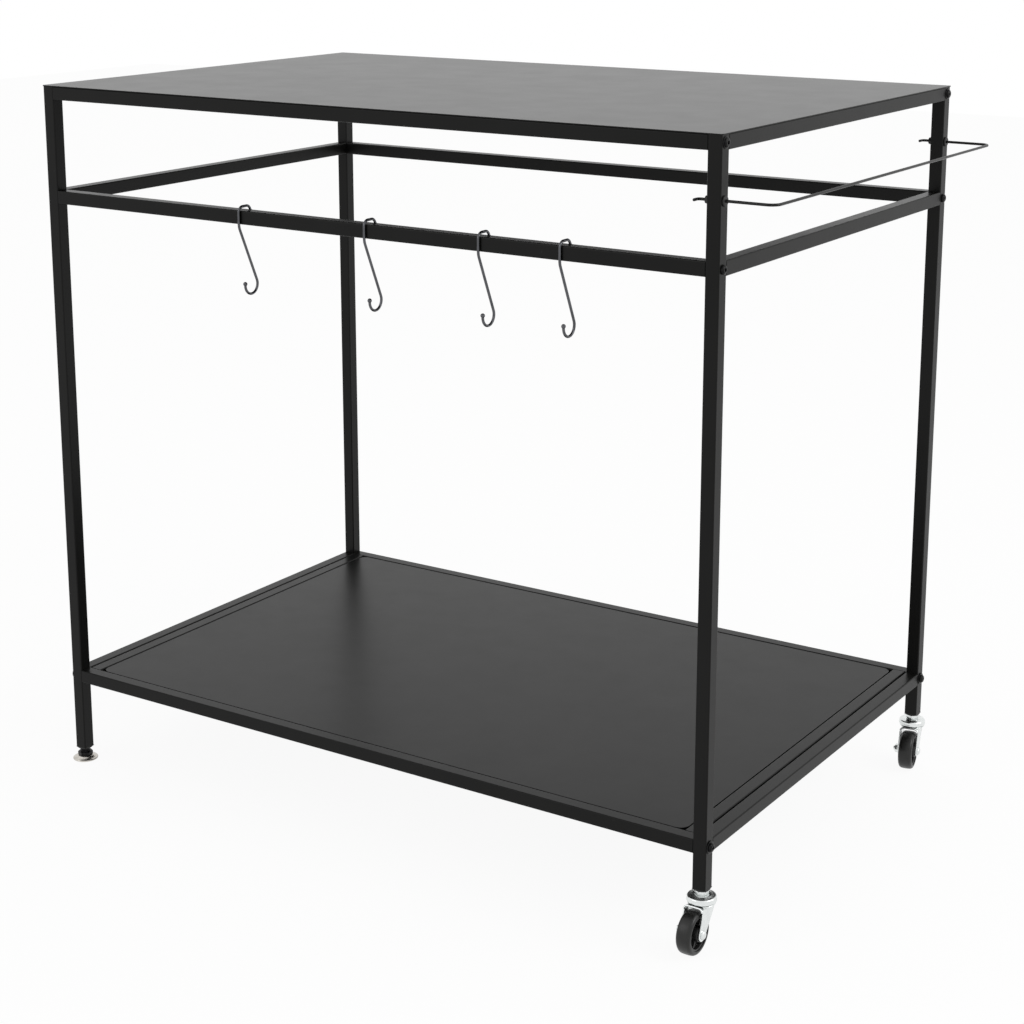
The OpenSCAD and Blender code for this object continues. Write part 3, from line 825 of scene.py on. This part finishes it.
@dataclass
class TowelBar:
    """Wire bar at the caster end, and the bushings that its arms slide in."""

    paint: Paint
    wire: float = 3.2
    corner: float = 11.0
    stop_bend: float = 4.0
    stop: float = 10.0
    sleeve: float = 8.0
    bore: float = 3.36
    flange: float = 11.5
    flange_thick: float = 2.0
    snap: float = 4.5
    snap_wide: float = 10.0
    tube: float = 16.5

    def bar(self) -> bpy.types.Object:
        """Bends the bar from the front arm's stop round to the rear arm's.

        Returns:
            The bar.
        """
        low, high = (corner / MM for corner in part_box("towel_bar"))
        r = self.wire / 2
        z, end, run = (low.z + high.z) / 2, low.x + r, high.x - r
        ya, yb = (centre_of(f"{side}_right_leg").y / MM for side in ("front", "rear"))
        arm, c, s = run - self.corner, self.corner, self.stop_bend
        wire = Wire("towel_bar_wire", self.wire)
        wire.start((end, ya - self.stop, z), (-90, 0, 0))
        wire.run((0, self.stop - s, 0))
        wire.turn((end + s, ya - s, z), Axis.Z, -90)
        wire.run((arm - end - s, 0, 0))
        wire.turn((arm, ya + c, z), Axis.Z, 90)
        wire.run((0, yb - ya - 2 * c, 0))
        wire.turn((arm, yb - c, z), Axis.Z, 90)
        wire.run((end + s - arm, 0, 0))
        wire.turn((end + s, yb - s, z), Axis.Z, 90)
        wire.run((0, s - self.stop, 0))
        return wire.done(0.5)

    def bushing(self) -> bpy.types.Object:
        """Makes a bushing whose flange seats on the origin and faces +X.

        Returns:
            The bushing.
        """
        b, f, t, s = self.bore / 2, self.flange / 2, self.flange_thick, self.sleeve / 2
        back = -self.tube - self.snap
        outline = [(b + 0.4, t), (f - 0.9, t), *arc((f - 0.9, t - 0.9), 0.9, 90, 0, 4),
                   (f, 0), (s, 0), (s, -self.tube), (self.snap_wide / 2, -self.tube - 0.01),
                   (s, back), (b, back), (b, t - 0.4)]
        return turned("bushing", outline, axis=Axis.X, steps=40, closed=True, round_mm=0.1)

    def build(self) -> None:
        """Makes the bar and both bushings."""
        self.paint.piece(self.bar(), WIRE_COAT, "powder_coat", "towel_bar", "towel_bar")
        master = self.bushing()
        for end in End:
            leg = centre_of(f"{end.value}_right_leg")
            where = (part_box(f"{end.value}_right_leg")[1].x, leg.y, centre_of("towel_bar").z)
            obj = copy_to(master, f"{end.value}_bar_bushing", where)
            self.paint.piece(obj, NYLON, "black_nylon", "frame",
                             *(["bar_bushings"] if end is End.FRONT else []))
        bpy.data.objects.remove(master)


@dataclass
class Hooks:
    """Four S-hooks of polished wire over the front middle rail."""

    paint: Paint
    wire: float = 3.2
    ball: float = 5.2
    loop: float = 11.2
    bend: float = 7.0
    hang: float = 104.0
    slant: float = 24.0
    knee: float = 15.0
    tip: float = 2.0
    gap: float = 0.3
    rest_gap: float = 0.15
    tube: float = 16.5
    tube_round: float = 1.5

    def hook(self) -> bpy.types.Object:
        """Bends a hook in the YZ plane, its rail's front top edge on the origin.

        Returns:
            The hook.
        """
        front = -self.wire / 2 - self.gap
        back = self.tube + self.ball / 2 + self.gap
        inner = front + self.bend - self.tube_round
        rise = -self.tube_round - math.sqrt((inner + self.gap - self.rest_gap) ** 2 - inner**2)
        slant = math.radians(self.slant)
        knee = (front + self.knee * (1 - math.cos(slant)),
                -self.tube - self.knee * math.sin(slant))
        loop_z = self.loop + self.wire / 2 - self.hang
        length = (knee[1] - loop_z - self.loop * math.sin(slant)) / math.cos(slant)
        heel = (knee[0] + length * math.sin(slant), knee[1] - length * math.cos(slant))
        loop = (heel[0] - self.loop * math.cos(slant), heel[1] - self.loop * math.sin(slant))
        wire = Wire("s_hook", self.wire, 24)
        wire.start((0, back, rise), (0, 0, 0))
        wire.turn((0, back - self.bend, rise), Axis.X, 90)
        wire.run((0, front + 2 * self.bend - back, 0))
        wire.turn((0, front + self.bend, rise), Axis.X, 90)
        wire.run((0, 0, -self.tube - rise))
        wire.turn((0, front + self.knee, -self.tube), Axis.X, self.slant)
        wire.run((0, heel[0] - knee[0], heel[1] - knee[1]))
        wire.turn((0, *loop), Axis.X, -180 - self.slant)
        wire.run((0, 0, self.tip))
        wire.ball((0, back, rise), self.ball)
        wire.ball((0, loop[0] - self.loop, loop[1] + self.tip), self.ball)
        return wire.done()

    def build(self) -> None:
        """Hangs the four hooks on the rail."""
        master = self.hook()
        rail_low, rail_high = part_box("front_mid_rail")
        for number in range(1, 5):
            x = centre_of(f"s_hook_{number}").x
            obj = copy_to(master, f"s_hook_{number}_wire", (x, rail_low.y, rail_high.z))
            self.paint.piece(obj, GUNMETAL, "gunmetal", f"hook_{number}", f"s_hook_{number}")
        bpy.data.objects.remove(master)


@dataclass
class Caster:
    """Swivel caster, modelled about its stem at the origin and trailing to -Y."""

    paint: Paint
    high: float = 70.0
    wheel: float = 50.0
    wide: float = 18.0
    tyre: float = 5.5
    shoulder: float = 4.2
    trail: float = 20.0
    sheet: float = 1.8
    inside: float = 10.8
    boss: float = 7.5
    crown_back: float = 11.0
    crown_front: float = 17.0
    crown: float = 52.5
    crown_wide: float = 32.0
    race_wide: float = 28.0
    race_top: float = 56.8
    cap: float = 34.0
    cap_low: float = 55.2
    cap_high: float = 61.9
    step_wide: float = 22.0
    stem: float = 8.0
    stem_up: float = 30.0
    hexagon: float = 14.0
    hex_top: float = 68.0
    rivet: float = 13.0
    axle: float = 6.0
    axle_head: float = 10.0
    nut: float = 10.0
    sleeve: float = 9.0
    ribs: int = 6
    bend: float = 5.0
    cheek_low: float = 10.0
    blank: float = 24.0
    lip: tuple[Point, Point] = ((-1.3, 0.5), (-0.8, 0.9))

    @property
    def hub_at(self) -> Triple:
        """Centre of the wheel, in millimetres."""
        return (0.0, -self.trail, self.wheel / 2)

    def fork_outline(self) -> list[tuple[Point, Point]]:
        """Points and outward normals of the planes that trim the cheeks, as (y, z).

        Returns:
            One point and normal for each plane.
        """
        axle = Vector((-self.trail, self.wheel / 2))
        top = self.crown + self.sheet
        back, front = Vector((self.crown_back, top)), Vector((-self.crown_front, top))
        angles = []
        for corner, side in ((front, 1), (back, -1)):
            away = corner - axle
            angles.append(math.atan2(away.y, away.x) + side * math.acos(self.boss / away.length))
        start, stop = angles[0], angles[1] + math.tau
        steps = 22
        planes = []
        for i in range(steps + 1):
            a = start + (stop - start) * i / steps
            normal = Vector((math.cos(a), math.sin(a)))
            planes.append(((axle + normal * self.boss)[:], normal[:]))
        return planes

    def fork(self) -> bpy.types.Object:
        """Presses the fork: a channel bent over the wheel and trimmed to its cheeks.

        Returns:
            The fork.
        """
        mid, level = self.inside + self.sheet / 2, self.crown + self.sheet / 2
        bend, low, start = self.bend, self.cheek_low, -self.crown_front - self.blank
        section = [(-mid, low), *arc((bend - mid, level - bend), bend, 180, 90, 8),
                   *arc((mid - bend, level - bend), bend, 90, 0, 8), (mid, low)]
        obj = begin_line("fork", [(x, start, z) for x, z in section])
        bpy.ops.mesh.select_all(action="SELECT")
        bpy.ops.mesh.extrude_region_move(
            TRANSFORM_OT_translate={"value": metres(0, self.crown_back - start, 0)})
        for (y, z), (ny, nz) in self.fork_outline():
            bpy.ops.mesh.select_all(action="SELECT")
            bpy.ops.mesh.bisect(plane_co=metres(0, y, z), plane_no=(0, ny, nz),
                                clear_outer=True, use_fill=False)
        limit = level - bend * 0.75
        select_where(obj, Part.EDGE, lambda at, edge: edge.is_boundary and at.z > limit
                     and at.y < -self.crown_front + 1.5)
        for step in self.lip:
            bpy.ops.mesh.extrude_region_move(TRANSFORM_OT_translate={"value": metres(0, *step)})
        close_up()
        modify(obj, "SOLIDIFY", thickness=self.sheet * MM, offset=0.0, use_even_offset=True)
        soften(obj, 0.4, segments=3, angle=40)
        return settle(obj)

    def crown_ring(self) -> bpy.types.Object:
        """Makes the fork's round top with the lower race pressed up from it.

        Returns:
            The ring.
        """
        r, race, bore = self.crown_wide / 2, self.race_wide / 2, self.stem / 2 + 0.08
        low, top = self.crown, self.crown + self.sheet
        return turned("crown", [
            (bore, low), (r - 0.9, low), *arc((r - 0.9, low + 0.9), 0.9, -90, 90, 6),
            (race + 0.8, top), (race, top + 0.7), (race, self.race_top), (bore, self.race_top)],
            steps=72, closed=True, round_mm=0.2)

    def cap_cup(self) -> bpy.types.Object:
        """Makes the pressed cap over the bearing, with its rolled skirt.

        Returns:
            The cap.
        """
        r, step, low, high = self.cap / 2, self.step_wide / 2, self.cap_low, self.cap_high
        bore, wall = self.stem / 2 + 0.05, 1.8
        return turned("cap", [
            (bore, high - 3.6), (r - wall, high - 3.6), (r - wall, low), (r - 0.5, low),
            (r, low + 0.6), (r, low + 1.6), (r - 0.35, low + 2.2), (r - 0.35, high - 2.2),
            *arc((r - 2.35, high - 2.2), 2.0, 0, 80, 6), (step + 1.6, high),
            (step, high + 0.9), (step - 0.7, high + 1.0), (bore, high + 1.0)],
            steps=72, closed=True, round_mm=0.15)

    def stem_screw(self) -> bpy.types.Object:
        """Makes the stem with its hex and its riveted lower head.

        Returns:
            The stem.
        """
        r, head = self.stem / 2, self.crown - 0.2
        top, rivet = self.high + self.stem_up, self.rivet / 2
        shank = turned("stem", [
            (0, head - 1.6), (rivet - 1.2, head - 1.6), (rivet, head - 0.8), (rivet, head),
            (r, head), (r, top - 0.8), (r - 0.8, top), (0, top)], steps=40, round_mm=0.15)
        nut = hexagon("stem_hex", self.hexagon, self.cap_high + 1.0, self.hex_top, 0.9)
        return join(shank, nut)

    def axle_bolt(self) -> bpy.types.Object:
        """Makes the axle bolt, its domed head towards +X.

        Returns:
            The bolt.
        """
        out = self.inside + self.sheet
        r, head, tip = self.axle / 2, self.axle_head / 2, -out - 6.5
        outline = [(0, tip), (r - 0.6, tip), (r, tip + 0.6), (r, out), (head, out),
                   (head, out + 0.9)]
        outline += [(1.6 + (head - 1.6) * math.cos(t), out + 0.9 + 2.3 * math.sin(t))
                    for t in (math.pi / 2 * i / 6 for i in range(1, 7))]
        outline += [(1.2, out + 2.9), (0, out + 2.8)]
        return turned("axle_bolt", outline, axis=Axis.X, steps=48, round_mm=0.1,
                      centre=self.hub_at)

    def axle_nut(self) -> bpy.types.Object:
        """Makes the axle's lock nut on the -X cheek, with its crimped collar.

        Returns:
            The nut.
        """
        nut = hexagon("axle_nut", self.nut, 0, 4.2, 0.6)
        r = self.axle / 2 + 0.05
        collar = turned("collar", [
            (r, 4.0), (r + 1.1, 4.0), (r + 1.1, 4.6), (r + 0.5, 5.0), (r, 5.0)],
            steps=40, closed=True, round_mm=0.1)
        join(nut, collar)
        seat = metres(-self.inside - self.sheet, *self.hub_at[1:])
        laid = copy_to(nut, "axle_nut_laid", seat, (0, -90, 0))
        bpy.data.objects.remove(nut)
        return laid

    def core(self) -> bpy.types.Object:
        """Makes the wheel's body: hub, web and rim, with ribs raised from the web.

        Returns:
            The body.
        """
        out, bore, hub = self.wheel / 2 - self.tyre, self.sleeve / 2 + 0.08, 8.5
        side, web, rim = self.inside - 0.5, 3.0, self.wide / 2 - 1.25
        half = [(bore, side), (hub - 0.6, side), (hub, side - 0.6), (hub + 0.7, web),
                (out - 3.1, web), (out - 2.3, rim - 0.4), (out - 1.9, rim), (out, rim)]
        outline = half + [(r, -x) for r, x in reversed(half)]
        obj = turned("wheel_core", outline, axis=Axis.X, steps=72, closed=True, round_mm=0,
                     centre=self.hub_at)
        pick(obj)
        bpy.ops.object.mode_set(mode="EDIT")
        inner, outer = hub + 1.2, out - 3.4

        def on_rib(at: Vector, normal: Vector, way: int) -> bool:
            """Tells whether a web face of one side lies under a rib.

            Args:
                at: Middle of the face.
                normal: Its normal.
                way: The side, 1 for +X and -1 for -X.

            Returns:
                True under a rib.
            """
            y, z = at.y - self.hub_at[1], at.z - self.hub_at[2]
            pitch = 360 / self.ribs
            turn = math.degrees(math.atan2(z, y)) % pitch
            spread = min(turn, pitch - turn)
            return normal.x * way > 0.9 and inner < math.hypot(y, z) < outer and spread < 5

        for way in (1, -1):
            select_where(obj, Part.FACE, lambda at, normal, w=way: on_rib(at, normal, w))
            bpy.ops.mesh.extrude_region_move(
                TRANSFORM_OT_translate={"value": metres(way * 3.0, 0, 0)})
        close_up()
        soften(obj, 0.25, angle=30)
        return settle(obj)

    def rubber(self) -> bpy.types.Object:
        """Makes the tyre, with a bead against the rim and rounded shoulders.

        Returns:
            The tyre.
        """
        r, half, s = self.wheel / 2, self.wide / 2, self.shoulder
        bead = r - self.tyre
        side = [(bead, half - 0.5), (bead + 0.35, half - 0.15), (bead + 0.7, half),
                *arc((r - s - 0.25, half - s), s, 90, 8, 9), (r - 0.05, half - s - 2.0)]
        outline = side + [(r, 0.0)] + [(a, -x) for a, x in reversed(side)]
        return turned("tyre", outline, axis=Axis.X, steps=96, closed=True, round_mm=0,
                      centre=self.hub_at)

    def build(self) -> None:
        """Makes one caster, and copies it to both legs at its real swing."""
        makers: tuple[tuple[str, Callable[[], bpy.types.Object], Finish, str, str, str], ...] = (
            ("fork_pressing", self.fork, ZINC, "zinc", "fork", "caster_fork"),
            ("fork_crown", self.crown_ring, ZINC, "zinc", "fork", ""),
            ("cap_pressing", self.cap_cup, ZINC, "zinc", "frame", "caster_cap"),
            ("stem_screw", self.stem_screw, ZINC, "zinc", "frame", "caster_stem"),
            ("axle_screw", self.axle_bolt, ZINC, "zinc", "fork", "axle_bolt"),
            ("axle_lock_nut", self.axle_nut, ZINC, "zinc", "fork", "axle_nut"),
            ("wheel_body", self.core, POLYPROPYLENE, "tyre", "wheel", "wheel_core"),
            ("tyre_moulding", self.rubber, RUBBER, "tyre", "wheel", "tyre"))
        for name, make, finish, slot, body, node in makers:
            master = make()
            for end in End:
                stem, axle = centre_of(f"{end.value}_caster_cap"), centre_of(f"{end.value}_tyre")
                swing = math.degrees(math.atan2(axle.x - stem.x, stem.y - axle.y))
                obj = copy_to(master, f"{end.value}_{name}", (stem.x, stem.y, 0), (0, 0, swing))
                carrier = "frame" if body == "frame" else f"{end.value}_{body}"
                self.paint.piece(obj, finish, slot, carrier,
                                 *([f"{end.value}_{node}"] if node else []))
            bpy.data.objects.remove(master)


@dataclass
class Foot:
    """Levelling foot: a pressed disc under a black hex screw, on the origin."""

    paint: Paint
    disc: float = 33.0
    disc_high: float = 5.0
    edge: float = 1.0
    hexagon: float = 17.0
    hex_high: float = 5.5
    neck: float = 13.5
    neck_top: float = 15.2
    stud: float = 8.0
    stud_top: float = 49.5
    rolls: tuple[float, float] = (12.0, 37.0)

    def pad(self) -> bpy.types.Object:
        """Makes the disc, dished up to the screw, with a rolled edge.

        Returns:
            The disc.
        """
        r, e, h, seat = self.disc / 2, self.edge, self.disc_high, self.hexagon / 2 + 1.5
        return turned("foot_pad", [
            (0, 0), (r - e, 0), *arc((r - e, e), e, -90, 90, 8), (r - 2.2, 2 * e + 0.25),
            (seat + 2.0, h - 1.7), (seat + 1.1, h - 0.8), (seat + 0.5, h - 0.2), (seat - 0.4, h),
            (0, h)], steps=72, round_mm=0.1)

    def screw(self) -> bpy.types.Object:
        """Makes the screw: hex, grooved neck and the stud inside the leg.

        Returns:
            The screw.
        """
        hex_top = self.disc_high + self.hex_high
        neck, stud, top = self.neck / 2, self.stud / 2, self.neck_top
        shank = turned("foot_shank", [
            (0, self.disc_high + 0.2), (neck, self.disc_high + 0.2), (neck, hex_top + 1.6),
            (neck - 0.5, hex_top + 1.9), (neck - 0.5, hex_top + 2.5), (neck, hex_top + 2.8),
            (neck, top - 0.4), (neck - 0.4, top), (stud, top), (stud, self.stud_top - 0.8),
            (stud - 0.8, self.stud_top), (0, self.stud_top)], steps=48, round_mm=0.12)
        return join(shank, hexagon("foot_hex", self.hexagon, self.disc_high, hex_top, 0.9))

    def build(self) -> None:
        """Makes one foot, and copies it under both legs."""
        for make, name, node, finish, slot in (
                (self.pad, "foot_pad", "foot_disc", NICKEL, "nickel"),
                (self.screw, "foot_stud", "foot_screw", BLACK_OXIDE, "black_bolts")):
            master = make()
            for end, roll in zip(End, self.rolls):
                leg = centre_of(f"{end.value}_left_leg")
                obj = copy_to(master, f"{end.value}_{name}", (leg.x, leg.y, 0), (0, 0, roll))
                self.paint.piece(obj, finish, slot, f"{end.value}_foot", f"{end.value}_{node}")
            bpy.data.objects.remove(master)


# ---- Stage ----


@dataclass
class Stage:
    """White room, plain soft lamps, pale floor and the camera."""

    eye: Triple = (1.41843, -2.16256, 1.14612)
    yaw: float = 33.125
    pitch: float = 13.104
    focal_px: float = 2089.88
    picture_px: float = 1024.0
    sensor: float = 36.0
    shift_y: float = -0.14
    floor: float = 16.0
    floor_gap: float = 0.0002
    fill: float = 0.75
    glow: float = 0.93
    middle: Triple = (0.0, 0.0, 0.45)

    def camera(self) -> None:
        """Adds the camera."""
        data = bpy.data.cameras.new("camera")
        data.sensor_width = self.sensor
        data.lens = self.focal_px / self.picture_px * self.sensor
        data.shift_y = self.shift_y
        data.clip_end = 100.0
        obj = bpy.data.objects.new("camera", data)
        obj.location = self.eye
        obj.rotation_euler = (math.radians(90 - self.pitch), 0, math.radians(self.yaw))
        bpy.context.scene.collection.objects.link(obj)
        bpy.context.scene.camera = obj

    def seen(self, tree: bpy.types.NodeTree) -> bpy.types.NodeSocket:
        """Tells the rays that show a surface from those that only light by it.

        Args:
            tree: The node tree that asks.

        Returns:
            A socket that is 1 where the camera, a gloss or a clear piece sees the surface.
        """
        path = add_node(tree, "ShaderNodeLightPath")
        either = add_node(tree, "ShaderNodeMath", {"operation": "MAXIMUM"}, {
            0: path.outputs["Is Camera Ray"], 1: path.outputs["Is Glossy Ray"]})
        every = add_node(tree, "ShaderNodeMath", {"operation": "MAXIMUM"}, {
            0: either.outputs[0], 1: path.outputs["Is Transmission Ray"]})
        return every.outputs[0]

    def room(self) -> None:
        """Fills the world: white where it is seen or mirrored, softer as a light."""
        world = bpy.data.worlds.new("room")
        bpy.context.scene.world = world
        world.use_nodes = True
        tree = world.node_tree
        tree.nodes.clear()
        strength = add_node(tree, "ShaderNodeMapRange", None, {
            "Value": self.seen(tree), "To Min": self.fill, "To Max": 1.0})
        light = add_node(tree, "ShaderNodeBackground", None, {
            "Color": (1.0, 1.0, 1.0, 1.0), "Strength": strength.outputs["Result"]})
        add_node(tree, "ShaderNodeOutputWorld", None, {"Surface": light.outputs[0]})

    def ground(self) -> None:
        """Lays the floor: pale, and seen as white with the cart's shadow left in it."""
        rest()
        bpy.ops.mesh.primitive_plane_add(size=self.floor, location=(0, 0, -self.floor_gap))
        obj = bpy.context.object
        obj.name = "floor"
        material = bpy.data.materials.new("floor_white_vinyl")
        material.use_nodes = True
        tree = material.node_tree
        tree.nodes.clear()
        share = add_node(tree, "ShaderNodeMath", {"operation": "MULTIPLY"}, {
            0: self.seen(tree), 1: self.glow})
        pale = add_node(tree, "ShaderNodeBsdfDiffuse", None, {"Color": colour("f6f6f5")})
        glow = add_node(tree, "ShaderNodeEmission", None, {"Color": (1.0, 1.0, 1.0, 1.0)})
        mixed = add_node(tree, "ShaderNodeMixShader", None, {
            0: share.outputs[0], 1: pale.outputs[0], 2: glow.outputs[0]})
        add_node(tree, "ShaderNodeOutputMaterial", None, {"Surface": mixed.outputs[0]})
        obj.data.materials.append(material)

    def lamp(self, name: str, place: Triple, size: float, watts: float) -> None:
        """Adds a square soft lamp that faces the middle of the cart.

        Args:
            name: Name of the lamp.
            place: Where it is, in metres.
            size: Its width in metres.
            watts: Its power.
        """
        data = bpy.data.lights.new(name, "AREA")
        data.size, data.energy = size, watts
        obj = bpy.data.objects.new(name, data)
        obj.location = place
        way = Vector(self.middle) - Vector(place)
        obj.rotation_euler = way.to_track_quat("-Z", "Y").to_euler()
        bpy.context.scene.collection.objects.link(obj)

    def build(self) -> None:
        """Adds the camera, the room, the floor and the lamps."""
        self.camera()
        self.room()
        self.ground()
        self.lamp("key", (2.4, 0.4, 1.9), 1.4, 24.0)
        self.lamp("fill", (-1.2, -2.6, 2.0), 1.8, 12.0)
        bpy.context.scene.view_settings.view_transform = "Standard"


def main() -> None:
    """Builds the cart's looks in order."""
    logging.basicConfig(level=logging.INFO, format="%(name)s %(message)s")
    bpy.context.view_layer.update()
    paint = Paint()
    Stage().build()
    for group in (Frame(paint), Bolts(paint), TowelBar(paint), Hooks(paint), Caster(paint),
                  Foot(paint)):
        group.build()
        LOG.info("built %s", type(group).__name__)
    rest()


if __name__ == "__main__":
    main()
